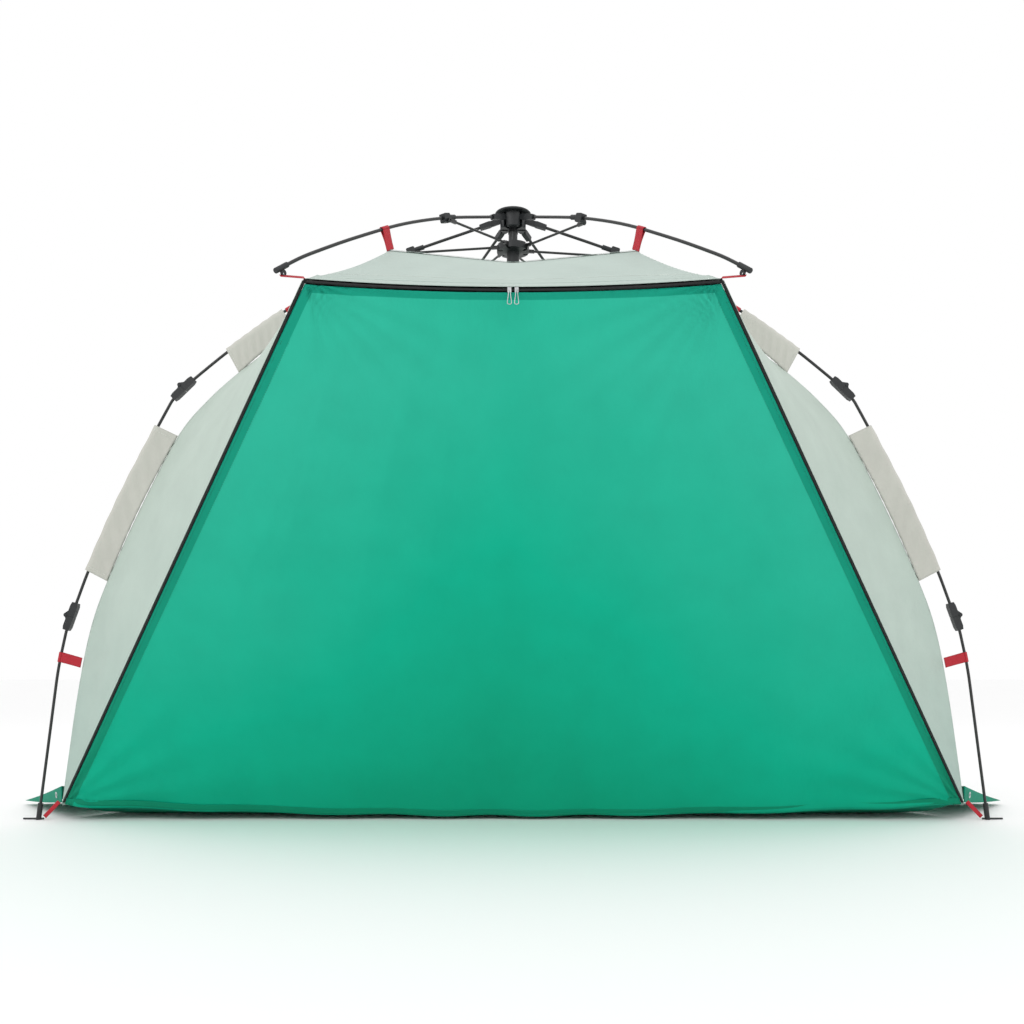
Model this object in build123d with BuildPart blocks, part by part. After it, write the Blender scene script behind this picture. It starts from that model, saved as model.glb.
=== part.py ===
from build123d import *
import math
import os

# Umbrella-hub beach tent, millimetres, +Z up, front door towards -Y.
# The six arms hang from a hub over the middle of the floor. The origin is on the
# ground at the centre of the overall box, so the hub axis stands at y = HUB_Y.

os.makedirs("parts", exist_ok=True)

# ---------------------------------------------------------------- dimensions
HUB_Y = -259.38             # hub axis, from the centre of the overall box
FRONT_AZ = 52.0             # front arms, degrees each side of the side arms
REAR_AZ = 60.0              # rear arms, degrees behind the side arms
LEGS = {"right": 0.0, "left": 180.0, "rear_right": REAR_AZ, "rear_left": 180.0 - REAR_AZ}
BROWS = {"right": -FRONT_AZ, "left": 180.0 + FRONT_AZ}

ROD_R = 4.0                 # arm and leg rods
STRUT_R = 3.2               # strut rods
FIT = 0.03                  # a rod in its own socket
RUN = 0.06                  # a pin in a moving eye

HUB_TOP = 1700.0
ARM_PIVOT = (26.0, 1675.0)  # radius from the hub axis, height
HUB_R = 36.0
ARM_SLOT = 9.0
RUNNER_PIVOT = (36.0, 1593.0)
RUNNER_R = 45.0
STRUT_SIDE = 13.5           # struts lie beside their arm, this far to one side
STRUT_W = 6.0
POST_R = 12.5
BRACKET = (285.0, 1587.0)   # where the strut's bracket is clamped on the arm
BRACKET_DROP = 10.0         # strut pivot below the rod's line

# rod routes in an arm's own upright plane: radius, height
BROW_PATH = [(26, 1675), (285, 1587), (450, 1516), (641, 1412), (766, 1338), (836, 1288)]
UPPER_PATH = [(26, 1675), (285, 1587), (470, 1512), (636, 1424), (800, 1305), (888, 1232.5), (920, 1203)]
KNEE_1 = (920.0, 1203.0)
KNEE_1_DIP = 44.0           # degrees below level, along the leg
MID_PATH = [(920, 1203), (950, 1174), (990, 1101), (1096, 901), (1187, 694), (1222, 598), (1233.5, 567)]
KNEE_2 = (1233.5, 567.0)
KNEE_2_DIP = 70.0
LOWER_PATH = [(1233.5, 567), (1247, 530), (1270, 425), (1307, 139), (1323, 18)]
KNEE_HALF = 40.0
KNEE_BODY = 10.0            # half height and half width of a knuckle
KNEE_PIN_OUT = 13.0         # hinge pin, outside the rod's line
KNEE_EAR = 6.0

CLOTH = 1.2                 # canopy cloth with its seam allowance
SEAM = [(600, 1366), (765, 1245), (935, 1071), (1133, 665), (1180, 530), (1214, 360), (1246, 141), (1260, 6)]
ROOF_CORNER = (460.0, -620.0, 1285.0)
PANEL_TOP = (-620.0, 1285.0)      # y from the hub axis, z
PANEL_SLOPE = (0.4413, -0.8974)   # down the door, y and z
PANEL_FOOT_X = 1253.0
PANEL_W_SIDE = 1382.0             # length down the slope at the sides
PANEL_W_MID = 1421.0              # and at the middle of the hem


# ---------------------------------------------------------------- helpers
def unit(dx, dy):
    n = math.hypot(dx, dy)
    return dx / n, dy / n


def arm_frame(az):
    """Upright plane through the hub axis: local x outward, local y up."""
    a = math.radians(az)
    return Plane(origin=(0, HUB_Y, 0), x_dir=(math.cos(a), math.sin(a), 0),
                 z_dir=(math.sin(a), -math.cos(a), 0))


def radii(pts):
    out = []
    for a, b, c in zip(pts, pts[1:], pts[2:]):
        u, v = unit(b[0] - a[0], b[1] - a[1]), unit(c[0] - b[0], c[1] - b[1])
        turn = abs(math.atan2(u[0] * v[1] - u[1] * v[0], u[0] * v[0] + u[1] * v[1]))
        run = min(math.dist(a, b), math.dist(b, c))
        out.append(0.45 * run / math.tan(turn / 2))
    return out


def trimmed(pts, start=0.0, end=0.0):
    """The same route, shorter at one or both ends."""
    pts = [tuple(p) for p in pts]
    for flip, cut in ((False, start), (True, end)):
        p = pts[::-1] if flip else pts
        while cut > 0:
            d = math.dist(p[0], p[1])
            if d > cut + 1:
                u = unit(p[1][0] - p[0][0], p[1][1] - p[0][1])
                p[0] = (p[0][0] + u[0] * cut, p[0][1] + u[1] * cut)
                cut = 0
            else:
                p, cut = p[1:], cut - d
        pts = p[::-1] if flip else p
    return pts


def rod_on(plane, pts, radius, bore=0.0):
    with BuildPart() as rod:
        with BuildLine(plane) as route:
            if len(pts) > 2:
                FilletPolyline(*pts, radius=radii(pts))
            else:
                Polyline(*pts)
        with BuildSketch(Plane(route.line @ 0, z_dir=route.line % 0)):
            Circle(radius)
            if bore:
                Circle(bore, mode=Mode.SUBTRACT)
        sweep()
    return rod.part


def part_of(pts, r_low, r_high):
    """The stretch of a route between two radii from the hub axis."""
    out = []
    for a, b in zip(pts, pts[1:]):
        for p in (a, b):
            if r_low <= p[0] <= r_high and p not in out:
                out.append(p)
        for r in (r_low, r_high):
            if min(a[0], b[0]) < r < max(a[0], b[0]):
                t = (r - a[0]) / (b[0] - a[0])
                out.append((r, a[1] + t * (b[1] - a[1])))
    return sorted(set(out))


def skin(points, tris, thick=CLOTH):
    """A thin closed solid: a faceted sheet with its back `thick` behind it."""
    nrm = [Vector(0, 0, 0) for _ in points]
    P = [Vector(*p) for p in points]
    for a, b, c in tris:
        n = (P[b] - P[a]).cross(P[c] - P[a]).normalized()
        for k in (a, b, c):
            nrm[k] = nrm[k] + n
    Q = [p - n.normalized() * thick for p, n in zip(P, nrm)]
    faces, edges = [], {(t[i], t[(i + 1) % 3]) for t in tris for i in range(3)}

    def facet(*v):
        faces.append(Face(Wire.make_polygon(list(v), close=True)))

    for a, b, c in tris:
        facet(P[a], P[b], P[c])
        facet(Q[a], Q[c], Q[b])
    for a, b in edges:
        if (b, a) not in edges:
            facet(P[a], Q[a], Q[b])
            facet(P[a], Q[b], P[b])
    return Solid(Shell(faces))


def ruled(rows):
    """Triangles over a grid of points, given row by row."""
    pts = [p for row in rows for p in row]
    w = len(rows[0])
    tris = []
    for i in range(len(rows) - 1):
        for j in range(w - 1):
            a, b, c, d = i * w + j, i * w + j + 1, (i + 1) * w + j + 1, (i + 1) * w + j
            tris += [(a, b, c), (a, c, d)]
    return pts, tris


def at(az, r, z, side=0.0):
    """A point by azimuth, radius and height, side = step counter-clockwise."""
    a = math.radians(az)
    return (r * math.cos(a) - side * math.sin(a), HUB_Y + r * math.sin(a) + side * math.cos(a), z)


def finish(solid, name):
    solid.label = name
    export_step(solid, f"parts/{name}.step")
    print(name, len(solid.solids()), round(solid.volume / 1000, 2), "cm3")


# ---------------------------------------------------------------- hub
pivot_pins = []
with BuildPart() as upper_hub:
    with BuildSketch(Plane.XY.offset(1646)):
        with Locations((0, HUB_Y)):
            Circle(HUB_R)
    extrude(amount=46)
    chamfer(upper_hub.edges().filter_by(GeomType.CIRCLE), length=2)
    for az in list(LEGS.values()) + list(BROWS.values()):
        with BuildSketch(Plane(origin=(0, HUB_Y, 1640), x_dir=(math.cos(math.radians(az)), math.sin(math.radians(az)), 0), z_dir=(0, 0, 1))):
            with Locations((14 + 20, 0)):
                Rectangle(40, ARM_SLOT)
        extrude(amount=60, mode=Mode.SUBTRACT)
        f = arm_frame(az)
        with BuildSketch(f.offset(-9.5)):
            with Locations(ARM_PIVOT):
                Circle(2.0 + FIT)
        extrude(amount=19, mode=Mode.SUBTRACT)
upper_hub.part.label = "upper_hub"
finish(upper_hub.part, "upper_hub")

with BuildPart() as hub_cap:
    with BuildSketch(Plane.XY.offset(1692.2)):
        with Locations((0, HUB_Y)):
            Circle(HUB_R)
    extrude(amount=HUB_TOP - 1692.2)
    fillet(hub_cap.edges().group_by(Axis.Z)[-1], radius=6.5)
finish(hub_cap.part, "hub_cap")

with BuildPart() as upper_hub_pins:
    for az in list(LEGS.values()) + list(BROWS.values()):
        with BuildSketch(arm_frame(az).offset(-9.5)):
            with Locations(ARM_PIVOT):
                Circle(2.0)
        extrude(amount=19)
finish(upper_hub_pins.part, "upper_hub_pins")

with BuildPart() as hub_post:
    with BuildSketch(Plane.XY.offset(1545)):
        with Locations((0, HUB_Y)):
            Circle(POST_R)
            Circle(POST_R - 1.5, mode=Mode.SUBTRACT)
    extrude(amount=101)
finish(hub_post.part, "hub_post")

# the runner slides on the post and carries the six struts
with BuildPart() as lower_hub:
    with BuildSketch(Plane(origin=(0, HUB_Y, 0), x_dir=(1, 0, 0), z_dir=(0, -1, 0))):
        with BuildLine():
            Polyline((POST_R + 0.6, 1605), (POST_R + 0.6, 1520), (17.5, 1520), (17.5, 1581), (30, 1583),
                     (RUNNER_R, 1584), (RUNNER_R, 1602), (24, 1604), (20, 1608), (POST_R + 0.6, 1608), close=True)
        make_face()
    revolve(axis=Axis((0, HUB_Y, 0), (0, 0, 1)))
    # ribs of the hand grip
    for z in (1524, 1531, 1538, 1545, 1552):
        with BuildSketch(Plane.XY.offset(z)):
            with Locations((0, HUB_Y)):
                Circle(19.2)
                Circle(17.0, mode=Mode.SUBTRACT)
        extrude(amount=3)
    for az in list(LEGS.values()) + list(BROWS.values()):
        f = Plane(origin=(0, HUB_Y, 1570), x_dir=(math.cos(math.radians(az)), math.sin(math.radians(az)), 0), z_dir=(0, 0, 1))
        with BuildSketch(f):
            with Locations((28.5 + 15, STRUT_SIDE)):
                Rectangle(30, STRUT_W + 0.8)
        extrude(amount=60, mode=Mode.SUBTRACT)
        with BuildSketch(arm_frame(az).offset(-STRUT_SIDE - 7.5)):
            with Locations(RUNNER_PIVOT):
                Circle(2.0 + FIT)
        extrude(amount=15, mode=Mode.SUBTRACT)
finish(lower_hub.part, "lower_hub")

with BuildPart() as lower_hub_pins:
    for az in list(LEGS.values()) + list(BROWS.values()):
        with BuildSketch(arm_frame(az).offset(-STRUT_SIDE - 7.5)):
            with Locations(RUNNER_PIVOT):
                Circle(2.0)
        extrude(amount=15)
finish(lower_hub_pins.part, "lower_hub_pins")


# ---------------------------------------------------------------- arms
def arm_root(plane, bore):
    """Moulded end with the eye that turns on the hub's pin."""
    d = unit(BRACKET[0] - ARM_PIVOT[0], BRACKET[1] - ARM_PIVOT[1])
    dip = Plane(origin=plane.from_local_coords(Vector(ARM_PIVOT[0], ARM_PIVOT[1], 0)),
                x_dir=plane.x_dir * d[0] + plane.y_dir * d[1], z_dir=plane.z_dir)
    with BuildPart() as end:
        with BuildSketch(dip.offset(-4.1)):
            Circle(7)
            with BuildLine():
                Polyline((0, 7), (30, 7.5), (70, 6.5), (70, -6.5), (30, -7.5), (0, -7), close=True)
            make_face()
        extrude(amount=8.2)
        with BuildSketch(dip.offset(-7)):
            with BuildLine():
                Polyline((36, 6), (42, 7.5), (70, 6.5), (70, -6.5), (42, -7.5), (36, -6), close=True)
            make_face()
        extrude(amount=14)
        with BuildSketch(dip.offset(-5)):
            Circle(2.0 + RUN)
        extrude(amount=10, mode=Mode.SUBTRACT)
        add(bore, mode=Mode.SUBTRACT)
    return end.part


def strut_bracket(plane, bore):
    """Clamp on the arm, with the boss that faces the strut's outer eye."""
    d = unit(BRACKET[0] - ARM_PIVOT[0], BRACKET[1] - ARM_PIVOT[1])
    c = Plane(origin=plane.from_local_coords(Vector(BRACKET[0], BRACKET[1], 0)),
              x_dir=plane.x_dir * d[0] + plane.y_dir * d[1], z_dir=plane.z_dir)
    with BuildPart() as clamp:
        with BuildSketch(c.offset(-9)):
            with Locations((0, -2)):
                RectangleRounded(24, 22, 4)
        extrude(amount=18)
        with BuildSketch(Plane(origin=c.origin, x_dir=c.z_dir, z_dir=c.x_dir).offset(-38)):
            Circle(6.5)
        extrude(amount=40)
        with BuildSketch(c.offset(-10.0)):
            with Locations((0, -BRACKET_DROP)):
                Circle(5.5)
        extrude(amount=6)
        add(bore, mode=Mode.SUBTRACT)
    return clamp.part


def knuckle(plane, centre, dip, near, bore):
    """One half of a folding knuckle. The near half carries the rivet and two ears."""
    a = math.radians(dip)
    c = Plane(origin=plane.from_local_coords(Vector(centre[0], centre[1], 0)),
              x_dir=plane.x_dir * math.cos(a) - plane.y_dir * math.sin(a), z_dir=plane.z_dir)
    s = -1 if near else 1
    pin = (0, KNEE_PIN_OUT)
    with BuildPart() as half:
        with BuildSketch(c.offset(-KNEE_BODY)):
            with BuildLine():
                Polyline((s * 0.3, -KNEE_BODY), (s * 0.3, KNEE_BODY), (s * 30, KNEE_BODY), (s * KNEE_HALF, 7.5),
                         (s * KNEE_HALF, -7.5), (s * 30, -KNEE_BODY), close=True)
            make_face()
        extrude(amount=2 * KNEE_BODY)
        for lo, hi, ears in ((-KNEE_BODY, -4.6, True), (4.6, KNEE_BODY, True), (-4.2, 4.2, False)):
            if ears == near:
                with BuildSketch(c.offset(lo)):
                    with Locations(pin):
                        Circle(KNEE_EAR)
                    with BuildLine():
                        Polyline((s * 0.3, KNEE_BODY - 2), (s * 0.3, 18), (s * 2, 18.6), (s * 14, KNEE_BODY), (s * 14, KNEE_BODY - 2), close=True)
                    make_face()
                extrude(amount=hi - lo)
        # room for the other half's ears or lug
        for lo, hi, ears in ((-KNEE_BODY - 1, -4.3, False), (4.3, KNEE_BODY + 1, False), (-4.5, 4.5, True)):
            if ears == near:
                with BuildSketch(c.offset(lo)):
                    with Locations(pin):
                        Circle(KNEE_EAR + 0.4)
                extrude(amount=hi - lo, mode=Mode.SUBTRACT)
        with BuildSketch(c.offset(-KNEE_BODY - 1)):
            with Locations(pin):
                Circle(2.0 + (FIT if near else RUN))
        extrude(amount=2 * KNEE_BODY + 2, mode=Mode.SUBTRACT)
        add(bore, mode=Mode.SUBTRACT)
    if not near:
        return half.part
    with BuildPart() as rivet:
        with BuildSketch(c.offset(-KNEE_BODY - 0.6)):
            with Locations(pin):
                Circle(2.0)
        extrude(amount=2 * KNEE_BODY + 1.2)
        for lo in (-KNEE_BODY - 1.6, KNEE_BODY + 0.05):
            with BuildSketch(c.offset(lo)):
                with Locations(pin):
                    Circle(4.0)
            extrude(amount=1.55)
    return Compound(children=[half.part, rivet.part])


for side, az in LEGS.items():
    f = arm_frame(az)
    upper = trimmed(UPPER_PATH, 44, 12)
    mid = trimmed(MID_PATH, 12, 12)
    lower = trimmed(LOWER_PATH, 12, 0)
    with BuildPart() as upper_rod:
        add(rod_on(f, upper, ROD_R))
    finish(upper_rod.part, f"upper_leg_rod_{side}")
    bore = rod_on(f, upper, ROD_R + FIT)
    pieces = [arm_root(f, bore), strut_bracket(f, bore), knuckle(f, KNEE_1, KNEE_1_DIP, True, bore)]
    finish(Compound(children=pieces), f"upper_leg_fittings_{side}")
    with BuildPart() as mid_rod:
        add(rod_on(f, mid, ROD_R))
    finish(mid_rod.part, f"middle_leg_rod_{side}")
    bore = rod_on(f, mid, ROD_R + FIT)
    pieces = [knuckle(f, KNEE_1, KNEE_1_DIP, False, bore), knuckle(f, KNEE_2, KNEE_2_DIP, True, bore)]
    finish(Compound(children=pieces), f"middle_leg_knuckles_{side}")
    with BuildPart() as lower_rod:
        add(rod_on(f, lower, ROD_R))
    finish(lower_rod.part, f"lower_leg_rod_{side}")
    bore = rod_on(f, lower, ROD_R + FIT)
    d = unit(LOWER_PATH[-1][0] - LOWER_PATH[-2][0], LOWER_PATH[-1][1] - LOWER_PATH[-2][1])
    with BuildPart() as ferrule:
        tip = Plane(origin=f.from_local_coords(Vector(LOWER_PATH[-1][0] + d[0] * 22, LOWER_PATH[-1][1] + d[1] * 22, 0)),
                    x_dir=f.z_dir, z_dir=f.x_dir * -d[0] + f.y_dir * -d[1])
        with BuildSketch(tip):
            Circle(7)
        extrude(amount=50)
        add(bore, mode=Mode.SUBTRACT)
        with BuildSketch(f.offset(-20)):
            with Locations((1325, -20)):
                Rectangle(100, 40)
        extrude(amount=40, mode=Mode.SUBTRACT)
        with BuildSketch(Plane(origin=f.from_local_coords(Vector(1300, 3.0, 0)), x_dir=f.z_dir, z_dir=f.x_dir)):
            Circle(2.5 + FIT)
        extrude(amount=60, mode=Mode.SUBTRACT)
    with BuildPart() as foot_pin:
        with BuildSketch(Plane(origin=f.from_local_coords(Vector(1310, 3.0, 0)), x_dir=f.z_dir, z_dir=f.x_dir)):
            Circle(2.5)
        extrude(amount=58)
        fillet(foot_pin.edges().filter_by(GeomType.CIRCLE), radius=1.2)
    finish(Compound(children=[knuckle(f, KNEE_2, KNEE_2_DIP, False, bore), ferrule.part, foot_pin.part]), f"lower_leg_fittings_{side}")

for side, az in BROWS.items():
    f = arm_frame(az)
    route = trimmed(BROW_PATH, 44, 14)
    with BuildPart() as brow_rod:
        add(rod_on(f, route, ROD_R))
    finish(brow_rod.part, f"brow_rod_{side}")
    bore = rod_on(f, route, ROD_R + FIT)
    d = unit(BROW_PATH[-1][0] - BROW_PATH[-2][0], BROW_PATH[-1][1] - BROW_PATH[-2][1])
    with BuildPart() as tip_cap:
        end = Plane(origin=f.from_local_coords(Vector(BROW_PATH[-1][0], BROW_PATH[-1][1], 0)),
                    x_dir=f.z_dir, z_dir=f.x_dir * -d[0] + f.y_dir * -d[1])
        with BuildSketch(end.offset(-6)):
            Circle(6.2)
        extrude(amount=42)
        fillet(tip_cap.edges().filter_by(GeomType.CIRCLE), radius=1.5)
        c = Plane(origin=end.origin, x_dir=f.x_dir * d[0] + f.y_dir * d[1], z_dir=f.z_dir)
        with BuildSketch(c.offset(-2.5)):
            with Locations((-14, -11)):
                Circle(7)
        extrude(amount=5)
        with BuildSketch(c.offset(-6)):
            with Locations((-14, -12.5)):
                Circle(3.2)
        extrude(amount=12, mode=Mode.SUBTRACT)
        add(bore, mode=Mode.SUBTRACT)
    finish(Compound(children=[arm_root(f, bore), strut_bracket(f, bore), tip_cap.part]), f"brow_fittings_{side}")

# ---------------------------------------------------------------- struts
d = unit(BRACKET[0] - ARM_PIVOT[0], BRACKET[1] - ARM_PIVOT[1])
STRUT_END = (BRACKET[0] + d[1] * BRACKET_DROP, BRACKET[1] - d[0] * BRACKET_DROP)
STRUT_LEN = math.dist(STRUT_END, RUNNER_PIVOT)
for side, az in list(LEGS.items()) + [("brow_" + k, v) for k, v in BROWS.items()]:
    f = arm_frame(az).offset(-STRUT_SIDE)
    u = unit(STRUT_END[0] - RUNNER_PIVOT[0], STRUT_END[1] - RUNNER_PIVOT[1])
    c = Plane(origin=f.from_local_coords(Vector(RUNNER_PIVOT[0], RUNNER_PIVOT[1], 0)),
              x_dir=f.x_dir * u[0] + f.y_dir * u[1], z_dir=f.z_dir)
    with BuildPart() as strut:
        for x0, s in ((0, 1), (STRUT_LEN, -1)):
            with BuildSketch(c.offset(-STRUT_W / 2)):
                with Locations((x0, 0)):
                    Circle(6)
                with Locations((x0 + s * 12, 0)):
                    Rectangle(24, 9)
            extrude(amount=STRUT_W)
        with BuildSketch(c.offset(-4)):
            Circle(2.0 + RUN)
        extrude(amount=8, mode=Mode.SUBTRACT)
        with BuildSketch(c.offset(-4)):
            with Locations((STRUT_LEN, 0)):
                Circle(2.5)
        extrude(amount=8, mode=Mode.SUBTRACT)
        with BuildSketch(Plane(origin=c.from_local_coords(Vector(18, 0, 0)), x_dir=c.z_dir, z_dir=c.x_dir)):
            Circle(STRUT_R)
        extrude(amount=STRUT_LEN - 36)
    finish(strut.part, f"strut_{side}")

# ---------------------------------------------------------------- canopy
def hub_xyz(x, y, z):
    return (x, HUB_Y + y, z)


def mirrored(points, tris):
    return [(-p[0], p[1], p[2]) for p in points], [(a, c, b) for a, b, c in tris]


roof_points = [hub_xyz(*p) for p in (
    ROOF_CORNER, (0, -612, 1268), (-460, -620, 1285), (300, -400, 1432), (0, -400, 1402), (-300, -400, 1432),
    (600, 0, 1372), (0, 0, 1490), (-600, 0, 1372), (300, 519.6, 1372), (-300, 519.6, 1372), (0, 519.6, 1368))]
roof_tris = [(1, 0, 3), (1, 3, 4), (1, 4, 5), (1, 5, 2), (0, 6, 3), (3, 6, 7), (3, 7, 4), (4, 7, 5), (5, 7, 8),
             (5, 8, 2), (6, 9, 7), (9, 11, 7), (11, 10, 7), (10, 8, 7)]
finish(skin(roof_points, roof_tris), "roof")

# front side walls: from the door's zip back to the side leg's seam
zip_line = []
for i, t in enumerate((0, 0.09, 0.235, 0.50, 0.625, 0.76, 0.905, 0.985)):
    x = ROOF_CORNER[0] + t * (PANEL_FOOT_X - ROOF_CORNER[0]) + 17
    zip_line.append(hub_xyz(x, ROOF_CORNER[1] + t * 612, ROOF_CORNER[2] - 5 - t * 1270))
seam_line = [at(0, r, z, -3) for r, z in SEAM]
wall = ruled([list(pair) for pair in zip(seam_line, zip_line)])
finish(skin(*wall), "front_side_wall_right")
finish(skin(*mirrored(*wall)), "front_side_wall_left")


def wall_between(az0, az1, sag):
    rows = []
    for i, (r, z) in enumerate(SEAM):
        half = (az1 - az0) / 2
        p0, p1 = at(az0, r, z, 3), at(az1, r, z, -3)
        m = at(az0 + half, r * math.cos(math.radians(half)) - sag * math.sin(math.pi * i / (len(SEAM) - 1)), z)
        rows.append([p1, m, p0])
    return ruled(rows)


side_wall = wall_between(0, REAR_AZ, 25)
finish(skin(*side_wall), "rear_side_wall_right")
finish(skin(*mirrored(*side_wall)), "rear_side_wall_left")
finish(skin(*wall_between(REAR_AZ, 180 - REAR_AZ, 25)), "back_wall")

# floor, and the pegged side flaps outside the feet
with BuildPart() as ground_sheet:
    with BuildSketch(Plane.XY):
        with BuildLine():
            edge = [at(az, 1255, 0)[:2] for az in (0, REAR_AZ, 180 - REAR_AZ, 180)]
            Polyline(*edge, (-1240, HUB_Y + 6), (1240, HUB_Y + 6), close=True)
        make_face()
    extrude(amount=CLOTH)
finish(ground_sheet.part, "ground_sheet")

flap_points = [hub_xyz(*p) for p in ((1266, 12, 92), (1266, 16, 46), (1520, 350, 12), (1010, 520, 12))]
flap = skin(flap_points, [(0, 1, 2), (0, 2, 3)], 1.5)
finish(Compound(children=[flap, skin(*mirrored(flap_points, [(0, 1, 2), (0, 2, 3)]), 1.5)]), "side_flaps")


def sleeve(path, r0, r1, seam0, seam1):
    """A sewn pocket round a rod with the web that joins it to the wall's seam."""
    solids = []
    for az in LEGS.values():
        f = arm_frame(az)
        pts = part_of(path, r0, r1)
        with BuildPart() as pocket:
            add(rod_on(f, pts, 7.4))
            add(rod_on(f, path, ROD_R + 1.0), mode=Mode.SUBTRACT)
        solids.append(pocket.part)
        rows = []
        for k in range(4):
            t = k / 3
            r = pts[0][0] + t * (pts[-1][0] - pts[0][0])
            z = next(a[1] + (r - a[0]) / (b[0] - a[0]) * (b[1] - a[1]) for a, b in zip(pts, pts[1:]) if a[0] - 1e-6 <= r <= b[0] + 1e-6)
            s = (seam0[0] + t * (seam1[0] - seam0[0]), seam0[1] + t * (seam1[1] - seam0[1]))
            n = unit(s[0] - r, s[1] - z)
            rows.append([at(az, r + n[0] * 10.5, z + n[1] * 10.5), at(az, s[0] - n[0] * 9, s[1] - n[1] * 9)])
        solids.append(skin(*ruled(rows)))
    return Compound(children=solids)


finish(sleeve(UPPER_PATH, 640, 796, SEAM[0], SEAM[1]), "upper_leg_sleeves")
finish(sleeve(MID_PATH, 992, 1186, SEAM[2], SEAM[3]), "middle_leg_sleeves")


def loop(az, path, r0, r1, lo=4.6, hi=6.8):
    with BuildPart() as band:
        add(rod_on(arm_frame(az), part_of(path, r0, r1), hi))
        add(rod_on(arm_frame(az), path, lo), mode=Mode.SUBTRACT)
    return band.part


# red webbing: roof ties on the arms, corner ties, leg straps and foot straps
ties = []
for side, az in BROWS.items():
    s = 1 if side == "right" else -1
    f = arm_frame(az)
    ties.append(loop(az, BROW_PATH, 498, 513))
    ties.append(skin([at(az, 498, 1480), at(az, 513, 1472), at(az, 511, 1436), at(az, 496, 1436)], [(0, 1, 2), (0, 2, 3)], 1.2))
    ties.append(skin([hub_xyz(s * 501, -642, 1281), hub_xyz(s * 501, -642, 1269), hub_xyz(s * 466, -626, 1277), hub_xyz(s * 466, -626, 1289)],
                     [(0, 1, 2), (0, 2, 3)] if s > 0 else [(0, 2, 1), (0, 3, 2)], 1.2))
for side, az in LEGS.items():
    ties.append(loop(az, UPPER_PATH, 612, 634))
    ties.append(skin([at(az, 612, 1424), at(az, 632, 1414), at(az, 618, 1384), at(az, 604, 1390)], [(0, 1, 2), (0, 2, 3)], 1.2))
finish(Compound(children=ties), "roof_ties")
straps = []
for az in LEGS.values():
    straps.append(loop(az, LOWER_PATH, 1260.5, 1266.5))
    straps.append(skin([at(az, 1255, 452), at(az, 1258, 428), at(az, 1209, 422), at(az, 1206, 446)], [(0, 1, 2), (0, 2, 3)], 1.2))
finish(Compound(children=straps), "leg_straps")
straps = []
for az in LEGS.values():
    straps.append(skin([at(az, 1270, 44), at(az, 1281, 46), at(az, 1309, 8), at(az, 1299, 7)], [(0, 1, 2), (0, 2, 3)], 1.2))
finish(Compound(children=straps), "foot_straps")


# ---------------------------------------------------------------- door
def on_door(x, w, lift=0.0):
    """A point on the door: x across, w down its slope, lift towards the front."""
    y, z = PANEL_TOP[0] + PANEL_SLOPE[0] * w, PANEL_TOP[1] + PANEL_SLOPE[1] * w
    return hub_xyz(x, y + PANEL_SLOPE[1] * lift, z - PANEL_SLOPE[0] * lift)


def door_side(w):
    return ROOF_CORNER[0] + (PANEL_FOOT_X - ROOF_CORNER[0]) * w / PANEL_W_SIDE


def zip_sag(x):
    return 18.0 * (1 - abs(x) / ROOF_CORNER[0])


rows = []
for k in range(9):
    t = k / 8
    row = []
    for j in (-1, -0.66, -0.33, 0, 0.33, 0.66, 1):
        top = 15 + zip_sag(j * 450)
        foot = PANEL_W_SIDE + (PANEL_W_MID - PANEL_W_SIDE) * (1 - j * j)
        w = top + t * (foot - top)
        row.append(on_door(j * (door_side(w) - 6), w))
    rows.append(row)
door_points, door_tris = ruled(rows)
finish(skin(door_points, [(a, c, b) for a, b, c in door_tris], 1.4), "front_panel")

ZIP_W = 10.0
tape = []
for s in (1, -1):
    top = [on_door(s * x, zip_sag(x) + dw, 0.2) for x in (0.3, 230, 452) for dw in (3, 3 + ZIP_W)]
    tris = [(0, 1, 3), (0, 3, 2), (2, 3, 5), (2, 5, 4)]
    tape.append(skin(top, tris if s > 0 else [(a, c, b) for a, b, c in tris], 1.6))
    rim = []
    for w in (16, 450, 900, 1378):
        rim += [on_door(s * (door_side(w) - 4.5), w, 0.2), on_door(s * (door_side(w) + 4), w, 0.2)]
    tris = [(0, 2, 3), (0, 3, 1), (2, 4, 5), (2, 5, 3), (4, 6, 7), (4, 7, 5)]
    tape.append(skin(rim, tris if s > 0 else [(a, c, b) for a, b, c in tris], 1.6))
finish(Compound(children=tape), "zip_tape")

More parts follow.
